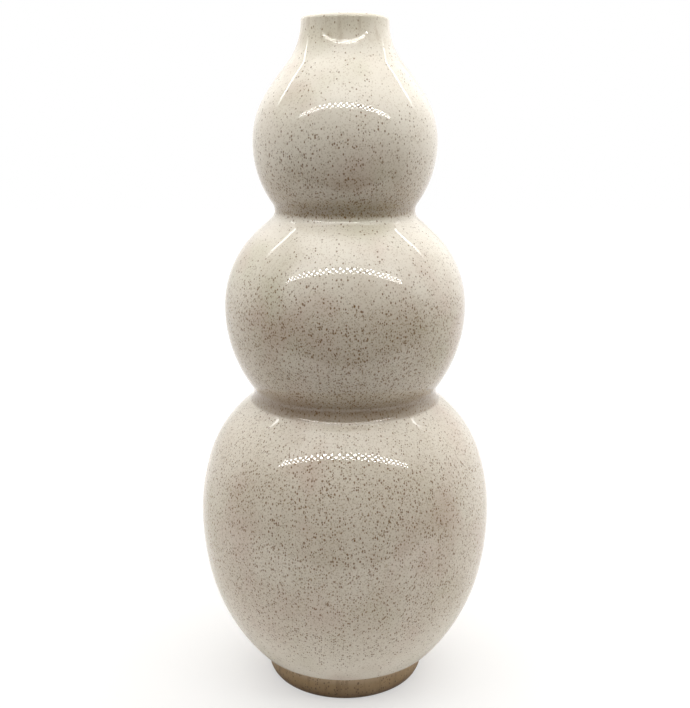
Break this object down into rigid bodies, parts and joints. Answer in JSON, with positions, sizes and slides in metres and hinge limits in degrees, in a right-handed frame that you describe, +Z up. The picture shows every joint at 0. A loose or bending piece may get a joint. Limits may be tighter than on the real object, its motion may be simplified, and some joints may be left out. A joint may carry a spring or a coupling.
{
  "type": "gourd vase",
  "caption": "Hollow gourd vase of stacked, luted bulbs that narrow to a collared mouth, on a turned foot ring. It stands free and holds tall stems.",
  "frame": {"origin": "centre of the foot ring's standing face, level with the table", "axes": "+Z up along the wheel's axis, towards the mouth; +X and +Y lie in the standing face, and the vase is round about +Z"},
  "size_m": [0.178, 0.178, 0.4],
  "materials": {
    "glazed_clay": "glossy cream glaze with fine brown specks",
    "bare_clay": "brown-washed bare stoneware, satin",
    "slip": "fired slip, level with the clay on both sides"
  },
  "bodies": {
    "root": {"foot_ring": "bare_clay", "foot_slip": "slip", "lower_bulb": "glazed_clay", "lower_waist_slip": "slip", "middle_bulb": "glazed_clay", "upper_waist_slip": "slip", "upper_bulb": "glazed_clay"}
  },
  "joints": []
}
